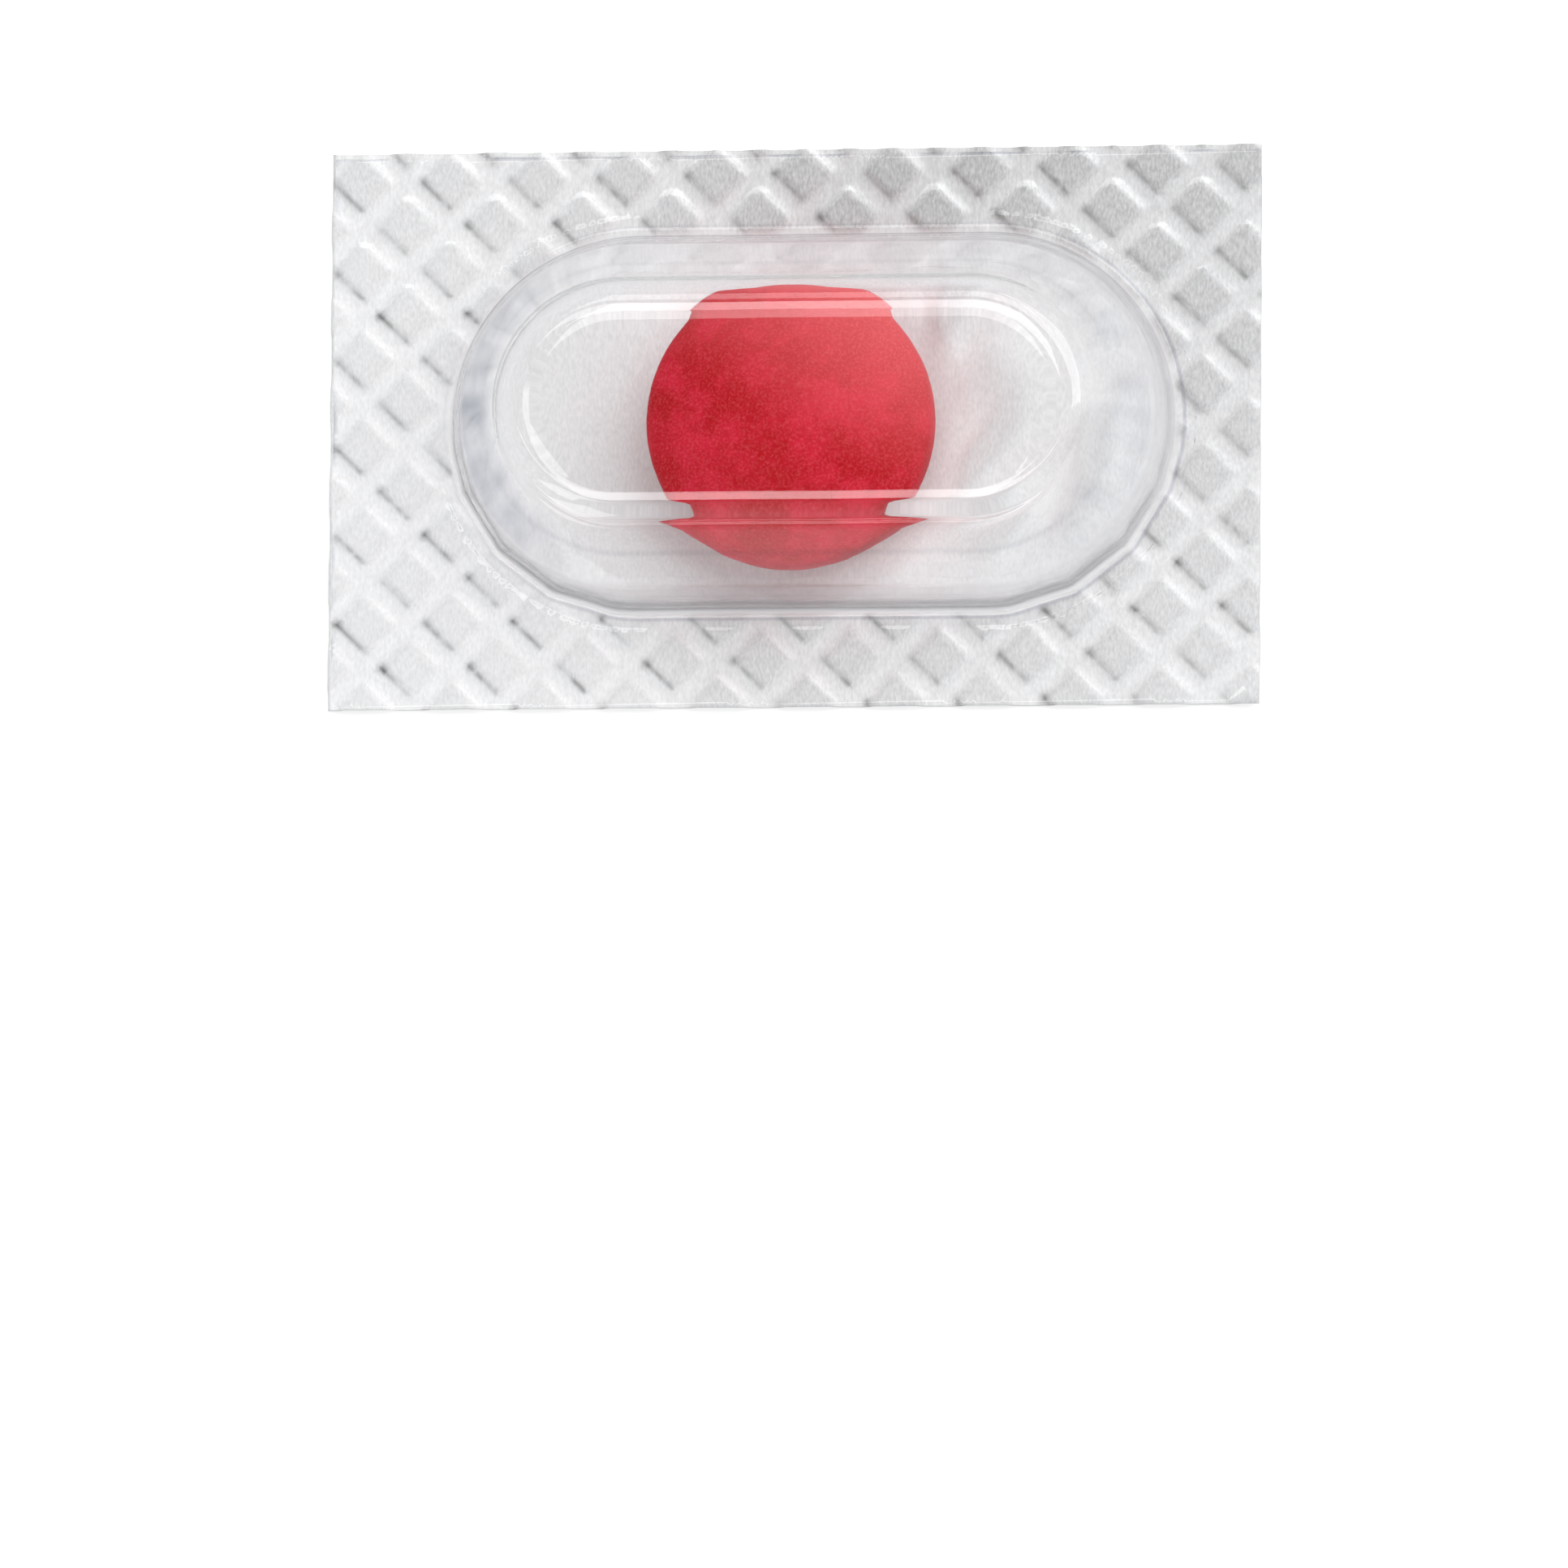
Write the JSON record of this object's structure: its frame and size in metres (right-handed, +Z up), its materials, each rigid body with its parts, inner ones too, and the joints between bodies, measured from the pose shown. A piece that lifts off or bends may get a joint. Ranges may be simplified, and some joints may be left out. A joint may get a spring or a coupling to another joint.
{
  "type": "single-dose tablet blister pack",
  "caption": "Clear formed blister with a long round-ended dome over one round tablet, heat-sealed to a rectangular paper-backed lidding with a diamond emboss.",
  "frame": {"origin": "middle of the pack's outline, on the underside of the lidding that it rests on", "axes": "+X along the pack's long side, +Y across it, +Z up out of the dome"},
  "size_m": [0.0324, 0.0194, 0.0064],
  "materials": {
    "clear_film": "gloss",
    "lidding_paper": "matte",
    "tablet_coat": "satin"
  },
  "bodies": {
    "root": {"blister_film": "clear_film", "lidding": "lidding_paper", "tablet": "tablet_coat"}
  },
  "joints": []
}
